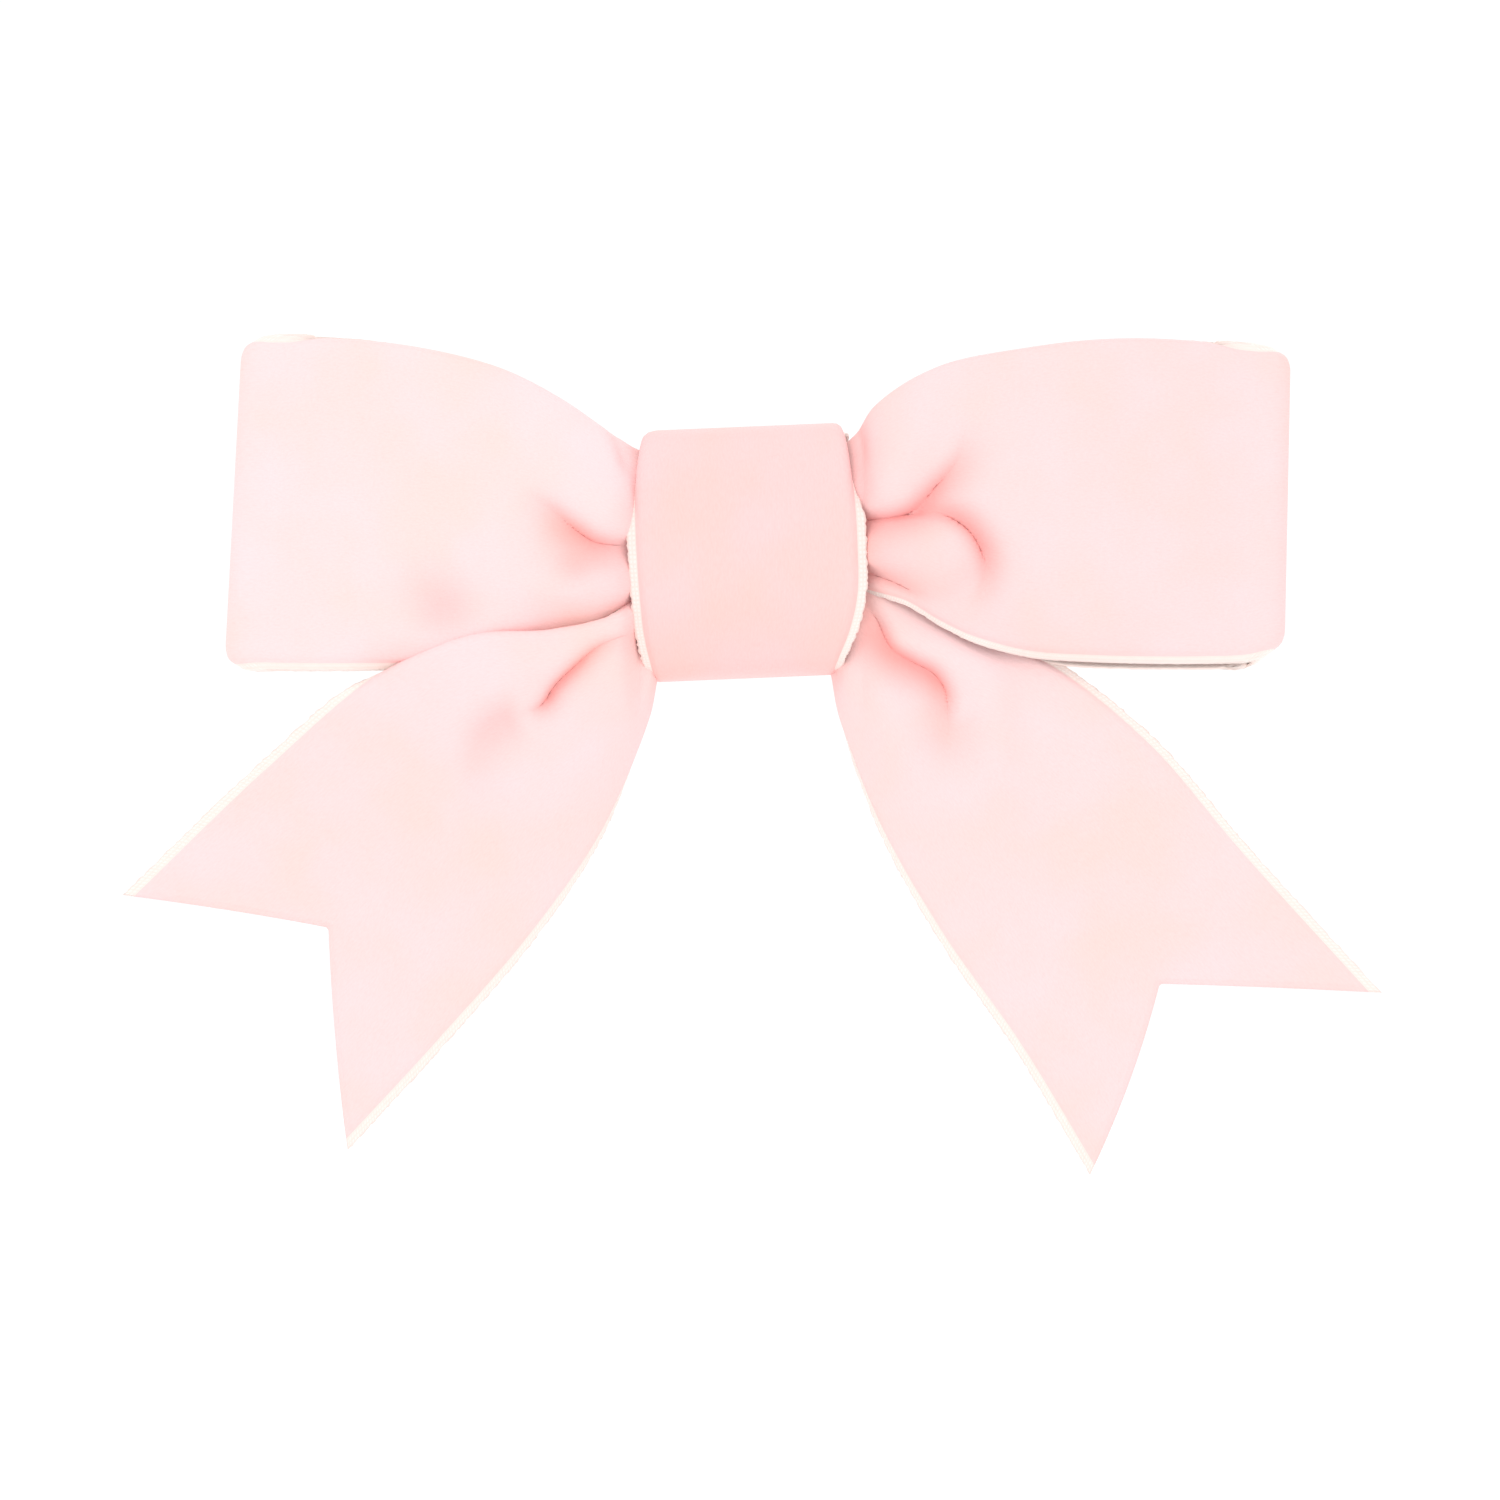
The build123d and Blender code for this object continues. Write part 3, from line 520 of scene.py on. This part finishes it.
def loop_layers(side, shares):
    """The front layer, end fold and back layer of one loop: rows from the wrap round to the wrap."""
    data = LOOPS[side]
    top, bottom = height_of(data["top"]), height_of(data["bottom"])
    back_bottom = height_of(data["back_bottom"])
    v = shares[None, :]
    from_edge = np.minimum(v, 1 - v) * RIBBON_WIDTH
    off_corner = np.clip(END_CORNER - from_edge, 0, END_CORNER)
    corner = END_CORNER - np.sqrt(np.maximum(END_CORNER ** 2 - off_corner ** 2, 0))
    end_x = data["end_bottom"] + (data["end_top"] - data["end_bottom"]) * v - FOLD_INSET - corner
    a = np.linspace(0, 1, 150)[:, None]
    x = NECK_X + (end_x - NECK_X) * a
    z = bottom(x) + (top(x) - ROLL_DROP * step(a, 0.84, 0.97) - bottom(x)) * v
    curl = 0.80 * (1 - step(a, 0.05, 0.6)) + 0.12
    curl = curl * np.where(v > 0.5, 0.6, 0.3 if side > 0 else 0.5)
    middle = np.abs(2 * v - 1) ** 3
    y = LOOP_MIDDLE + (LOOP_DEPTH(a) - LOOP_MIDDLE) * (1 - curl * middle * (1 - step(a, 0.8, 1)))
    fade = 1 - step(a, 0.82, 0.97)
    sunk, stood = loop_folds(side, side * x, z)
    y = y + (FOLD_SHARE * sunk - stood) * fade * step(x, NECK_X, NECK_X + 3)
    under_wrap = LOOP_LIMIT - 10 * step(x, 12.6, 18)
    y = kept_behind(y, under_wrap)
    # painted shade: deeper pink along the folds as they sink in and where the loop goes under the wrap's
    # edge; also deeper pink on its lower part near the wrap
    tint_and_shade = LOOP_TINT[side] + sunk / 4.6 * fade + 0.3 * bell(x - 12.8, 1.5)
    tint_and_shade = tint_and_shade + 0.14 * (1 - step(x, 17, 38)) * step(5 - z, 0, 7)
    to_top, to_bottom = (1 - v) * RIBBON_WIDTH, v * RIBBON_WIDTH
    y = y + EDGE_ROLL * np.clip(1 - to_top / 4.0, 0, 1) ** 2 * fade
    y = y + 0.3 * EDGE_ROLL * np.clip(1 - to_bottom / 2.0, 0, 1) ** 2 * fade
    if side > 0:
        lean = np.clip(1 - to_bottom / LEAN_REACH, 0, 1) ** 2
        y = y + LEAN * lean * step(x, 24, 33) * (1 - step(x, 40, 52))
    front = np.stack([side * x, y, z], axis=2)
    front = roll_edge(front, shares, RIBBON_WIDTH, True, 1 - step(a[:, 0], 0.84, 0.97))
    turn = np.linspace(-90, 90, 15)[1:-1, None] * math.pi / 180
    radius = (FOLD_BACK - FOLD_FRONT) / 2
    fx = end_x + radius * np.cos(turn)
    fy = (FOLD_BACK + FOLD_FRONT) / 2 + radius * np.sin(turn) + 0 * v
    share = step(np.sin(turn), -0.2, 0.9)
    lower = bottom(fx) + (back_bottom(fx) - bottom(fx)) * share
    fz = lower + (top(fx) - ROLL_DROP - lower) * v
    fold = np.stack([side * fx, fy, fz], axis=2)
    b = a[::-1][::2]
    bx = NECK_X + (end_x - NECK_X) * b
    bz = back_bottom(bx) + (top(bx) - ROLL_DROP - 0.3 * (1 - b) - back_bottom(bx)) * v
    by = FOLD_BACK + 0.5 * np.sin(bx / 9.0) * step(b, 0, 0.3) * (1 - b) + 0 * v
    if side > 0:
        beside = np.interp(bx, x[:, 0], y[:, 0]) + LAYER_GAP
        lean = np.clip(1 - v * RIBBON_WIDTH / LEAN_REACH, 0, 1) ** 2
        by = by + (beside - by) * lean * step(bx, 24, 33) * (1 - step(bx, 53, 57))
    back = np.stack([side * bx, by, bz], axis=2)
    plain = LOOP_TINT[side] + 0 * fz, LOOP_TINT[side] + 0 * bz
    return (front, fold, back), (tint_and_shade, *plain)


def bridge(first, second, count=24):
    """Rows between two rows, in even steps."""
    t = np.linspace(0, 1, count + 2)[1:-1].reshape((count,) + (1,) * first.ndim)
    return first[None] * (1 - t) + second[None] * t


def neck(first, second, shares, depth, count=24):
    """Rows between two rows, gathered at the middle to the size that the binding thread holds."""
    rows = bridge(first, second, count)
    pull = np.sin(np.linspace(0, math.pi, count + 2)[1:-1])[:, None] ** 0.6
    rows[..., 1] += (depth - rows[..., 1]) * pull
    rows[..., 2] += (NECK_HALF * (2 * shares - 1) - rows[..., 2]) * pull
    return rows


def ring(right, left, front_neck, back_neck):
    """One closed run of rows from each side's front, fold and back, and the necks between them."""
    return np.concatenate([
        back_neck, left[2][::-1], left[1][::-1], left[0][::-1], front_neck, right[0], right[1], right[2]])


def make_loops():
    shares = across(RIBBON_WIDTH)
    right, right_tint_shade = loop_layers(1, shares)
    left, left_tint_shade = loop_layers(-1, shares)
    rows = ring(right, left, neck(left[0][0], right[0][0], shares, -16.1),
                neck(right[2][-1], left[2][-1], shares, -11.5))
    tint_and_shade = ring(right_tint_shade, left_tint_shade, bridge(left_tint_shade[0][0], right_tint_shade[0][0]),
               bridge(right_tint_shade[2][-1], left_tint_shade[2][-1]))
    length = np.linalg.norm(np.diff(rows[:, len(shares) // 2], axis=0), axis=1).sum()
    piece = strip("loop_ribbon_velvet", rows, shares, RIBBON_WIDTH, length, ribbon_materials, tint_and_shade, True)
    return piece


# ---- Tail ribbon ----
TAILS = {
    -1: dict(
        outer=[(-4, 8), (-9.5, -0.5), (-14, -6.6), (-22, -8.4), (-31.5, -8.7), (-42, -12.9), (-54.6, -23.2),
               (-70.6, -38.4)],
        inner=[(-5, -9.5), (-10.2, -12.2), (-12.0, -19.2), (-16.6, -31.5), (-24.4, -43.4), (-35, -55.8),
               (-45.4, -67.1)],
        outer_depth=[(0, -11.0), (0.11, -15.2), (0.185, -18.4), (0.284, -20.4), (0.4, -20.6), (0.536, -19.2),
                     (0.73, -15.2), (1, -11.6)],
        inner_depth=[(0, -10.2), (0.1, -12.5), (0.2, -14.0), (0.4, -13.4), (0.7, -12.2), (1, -10.8)],
        notch=16.3),
    1: dict(
        outer=[(4, 8.5), (8.6, 2.4), (13.5, -2.4), (18.5, -5.0), (26, -8.6), (34.5, -12.4), (45.3, -20.9),
               (56, -33.2), (70.9, -49.4)],
        inner=[(4.5, -9.5), (8.8, -12.2), (10.4, -19.6), (14.4, -31), (21.3, -43.6), (29.6, -55.5),
               (38.2, -69.9)],
        outer_depth=[(0, -10.8), (0.146, -14.2), (0.248, -15.8), (0.4, -16.2), (0.56, -15.0), (0.75, -13.2),
                     (1, -11.6)],
        inner_depth=[(0, -10.2), (0.1, -12.5), (0.22, -13.8), (0.4, -13.4), (0.7, -12.2), (1, -10.8)],
        notch=16.0),
}
# how much deeper pink each tail is all over
TAIL_TINT = {-1: 0.11, 1: 0.13}


def tail_folds(side, x, z):
    """How far a tail's folds sink in, and how far they stand out."""
    if side < 0:
        hook = crease(x, z, [(-10, -8.4), (-13.9, -9.3), (-17.1, -10.4), (-19.7, -12.4), (-22.0, -14.6),
                             (-23.6, -16.9), (-26.2, -18.4)], 3.6, 1.9, 0.7, 0.6, 0.25)
        root = crease(x, z, [(-9, -8.2), (-13.9, -9.3), (-17.1, -10.4)], 1.8, 1.6, 0.8, 0.0, 0.7)
        patch = crease(x, z, [(-24.5, -17.8), (-28.6, -19.4), (-30.4, -22.5), (-30.6, -30)],
                       1.9, 3.0, 2.2, 0.2, 0.7)
        over = ridge(x, z, [(-14, -8), (-22, -11.6), (-29, -15), (-35, -19)], 1.0, 2.6, 0.5, 0.6)
        return deepest(hook, root, patch), over
    fold = crease(x, z, [(11, -5), (13.9, -7.2), (15.9, -10.6), (18.2, -12.0), (20.6, -13.3), (22.0, -15.6),
                         (22.0, -19.5), (21.6, -27)], 4.3, 0.9, 2.9, 0.3, 0.5)
    low = crease(x, z, [(21, -17), (22.5, -21), (27, -24)], 1.3, 3.0, 3.0, 0.4, 0.7)
    over = ridge(x, z, [(15, -8), (20, -10.4), (26, -14), (27.5, -24), (29, -34)], 1.3, 2.4, 0.3, 0.5)
    inner = ridge(x, z, [(13, -12), (16, -20), (19, -30)], 0.8, 2.4, 0.3, 0.5)
    return deepest(fold, low), over + inner


def tail_rows(side, shares):
    data = TAILS[side]
    outer, inner = along(data["outer"]), along(data["inner"])
    outer_depth, inner_depth = height_of(data["outer_depth"]), height_of(data["inner_depth"])
    v = shares[None, :]
    reach = np.linalg.norm(np.diff(smooth_path(data["outer"]), axis=0), axis=1).sum()
    notch = data["notch"] / reach
    end = 1 - notch * (1 - np.abs(2 * v - 1))
    u = np.linspace(0, 1, 190)[:, None]
    t = u * end
    low, high = inner(t), outer(t)
    weight = v[..., None]
    flat = low * (1 - weight) + high * weight
    x, z = flat[..., 0], flat[..., 1]
    y = inner_depth(t) * (1 - v) + outer_depth(t) * v
    puff = 4 * v * (1 - v)
    y = y - 3.0 * puff * step(t, 0.04, 0.16) * (1 - step(t, 0.25, 0.75))
    sunk, stood = tail_folds(side, x, z)
    y = y + (FOLD_SHARE * sunk - stood) * step(t, 0.02, 0.1)
    under_wrap = TAIL_LIMIT - 9 * step(np.abs(x), 12.5, 17.5)
    y = kept_behind(y, under_wrap)
    rows = np.stack([x, y, z], axis=2)
    if side < 0:
        rows = roll_edge(rows, shares, RIBBON_WIDTH, True, step(x[:, -1], -47, -40))
    # painted shade: deeper pink along the folds as they sink in and just under the wrap's bottom edge, over
    # the tail's all-over tint
    return rows, TAIL_TINT[side] + sunk / 4.2 + 0.3 * bell(np.abs(x) - 12.8, 1.5) * step(z, -14, -10)


def make_tails():
    shares = across(RIBBON_WIDTH)
    (left, left_tint_shade), (right, right_tint_shade) = tail_rows(-1, shares), tail_rows(1, shares)
    rows = np.concatenate([left[::-1], neck(left[0], right[0], shares, -9.2, 14), right])
    tint_and_shade = np.concatenate([left_tint_shade[::-1], bridge(left_tint_shade[0], right_tint_shade[0], 14), right_tint_shade])
    length = np.linalg.norm(np.diff(rows[:, 0], axis=0), axis=1).sum()
    piece = strip("tail_ribbon_velvet", rows, shares, RIBBON_WIDTH, length, ribbon_materials, tint_and_shade)
    return piece


# ---- Centre wrap ----
WRAP_SLANT = 0.042  # how much its top and bottom edges rise for each millimetre along X
WRAP_LEFT = height_of([(-15, -11.0), (-13, -11.7), (-9, -12.8), (-4, -13.4), (2, -13.8), (8, -13.9),
                       (12, -13.4), (15, -12.6)])
WRAP_RIGHT = height_of([(-15, 9.4), (-13, 10.2), (-9, 12.0), (-5, 12.9), (0, 12.9), (6, 12.5), (12, 11.6),
                        (15, 10.6)])
WRAP_BACK_SIDES = (-11.9, 11.0)


def make_wrap():
    shares = across(WRAP_WIDTH)
    low, high = (np.array(c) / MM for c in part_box("centre_wrap"))
    front, back = low[1] + 0.6, high[1] - 1.75
    top, bottom = 13.3, -13.1
    shoulder = front + 10.4
    hold = 5.7
    lap = 1.1
    path = smooth_path([
        (back - 0.15, 4.4), (back, 1.0), (back, -3.4), (back - 0.1, -hold), (shoulder, bottom + 0.7),
        (front + 3.0, bottom - 0.1), (front + 0.8, bottom + 0.8), (front + 0.1, bottom + 2.8),
        (front - 0.05, -7.0), (front - 0.2, -1.0), (front - 0.1, 6.0), (front + 0.1, top - 2.8),
        (front + 0.8, top - 0.8),
        (front + 3.0, top + 0.1), (shoulder, top - 0.6), (back + lap - 0.2, hold + 0.5), (back + lap, 3.6),
        (back + lap, 0.6), (back + lap - 0.05, -1.75)], 300)
    length = np.linalg.norm(np.diff(path, axis=0), axis=1).sum()
    y, z = path[:, 0:1], path[:, 1:2]
    v = shares[None, :]
    behind = step(y, front + 1.5, front + 8)
    left = WRAP_LEFT(z) * (1 - behind) + WRAP_BACK_SIDES[0] * behind
    right = WRAP_RIGHT(z) * (1 - behind) + WRAP_BACK_SIDES[1] * behind
    x = right + (left - right) * v
    facing = 1 - step(y, front, front + 3)
    crown = 0.5 * (1 - (2 * v - 1) ** 2)
    dent = 0.35 * np.sin((x + 0.55 * z) / 5.2 + 0.8) * np.cos(z / 6.5) * (1 - np.abs(2 * v - 1) ** 3)
    yy = y - (crown - dent) * facing
    zz = z + WRAP_SLANT * x
    grid = np.stack([x, yy, zz], axis=2)
    rolled = 0.8 * step(z[:, 0], 3, 9) * (1 - step(y[:, 0], front + 6, shoulder))
    for upper in (False, True):
        grid = roll_edge(grid, shares, WRAP_WIDTH, upper, rolled, (0, -12, 0))
    # deeper pink all over the wrap, and more towards the bottom of its front
    tint_and_shade = 0.40 + 0.14 * step(-zz, 2, 13) * facing
    piece = strip("centre_wrap_velvet", grid, shares, WRAP_WIDTH, length, ribbon_materials, tint_and_shade)
    return piece


loops = make_loops()
tails = make_tails()
wrap = make_wrap()
for piece, node in ((loops, "loop_ribbon"), (tails, "tail_ribbon"), (wrap, "centre_wrap")):
    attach(piece, "bow_and_plate")
    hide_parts(node)

# ---- The clip's own finishes ----
shade_layer_then_pressed_plate = plated("nickel_plate", (0.80, 0.79, 0.77), 0.2, 900)
sprung = plated("spring_plate", (0.72, 0.72, 0.72), 0.26, 1600)
thread = thread_material()
glue = glue_material()
FINISHES = {
    "base_plate": shade_layer_then_pressed_plate, "hinge_pin": shade_layer_then_pressed_plate, "clasp_bracket": shade_layer_then_pressed_plate, "clasp_rivet": shade_layer_then_pressed_plate,
    "closing_arm": shade_layer_then_pressed_plate, "tension_leaf": sprung, "clasp_wing_upper": sprung,
    "clasp_wing_lower": sprung, "gather_thread": thread, "seam_stitches": thread, "glue_pads": glue,
}
for node, material in FINISHES.items():
    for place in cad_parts[node].material_slots:
        place.material = material

# ---- Floor, light and camera ----
FLOOR_GAP = 0.045  # under the tails' tips
VIEW_WIDTH = 0.1676  # what the picture takes in, at the bow's front
VIEW_MIDDLE = (-0.0001, -0.0221)
BOW_FRONT = -0.018
LENS = 200
SENSOR = 36


def make_floor():
    mesh = bpy.data.meshes.new("floor")
    reach, level = 6.0, cad_low[2] - FLOOR_GAP
    mesh.from_pydata([(-reach, -reach, level), (reach, -reach, level), (reach, reach, level),
                      (-reach, reach, level)], [], [(0, 1, 2, 3)])
    material, _, _, shader = new_material("floor_paper")
    shader.inputs["Base Color"].default_value = (0.98, 0.98, 0.98, 1)
    shader.inputs["Roughness"].default_value = 0.9
    shader.inputs["Specular IOR Level"].default_value = 0.1
    mesh.materials.append(material)
    floor = bpy.data.objects.new("floor", mesh)
    bpy.context.scene.collection.objects.link(floor)


def area_light(name, place, target, size, power):
    data = bpy.data.lights.new(name, "AREA")
    data.shape = "DISK"
    data.size = size
    data.energy = power
    light = bpy.data.objects.new(name, data)
    light.location = place
    aim = np.array(target) - np.array(place)
    light.rotation_euler = Vector(aim).to_track_quat("-Z", "Y").to_euler()
    bpy.context.scene.collection.objects.link(light)


def make_camera():
    data = bpy.data.cameras.new("camera")
    data.lens = LENS
    data.sensor_width = SENSOR
    data.clip_end = 50
    camera = bpy.data.objects.new("camera", data)
    distance = VIEW_WIDTH * LENS / SENSOR
    camera.location = (VIEW_MIDDLE[0], BOW_FRONT - distance, VIEW_MIDDLE[1])
    camera.rotation_euler = (math.pi / 2, 0, 0)
    bpy.context.scene.collection.objects.link(camera)
    bpy.context.scene.camera = camera


make_floor()
area_light("key", (-0.35, -0.75, 0.75), (0, 0, -0.02), 0.55, 1.6)
area_light("fill", (0.7, -0.7, 0.15), (0, 0, -0.02), 0.7, 0.4)
area_light("back", (0.2, 0.8, 0.6), (0, 0, 0), 0.6, 1.5)
world = bpy.data.worlds.new("studio")
world.use_nodes = True
world.node_tree.nodes["Background"].inputs["Color"].default_value = (1, 1, 1, 1)
world.node_tree.nodes["Background"].inputs["Strength"].default_value = 1.05
bpy.context.scene.world = world
bpy.context.scene.view_settings.view_transform = "Standard"
make_camera()
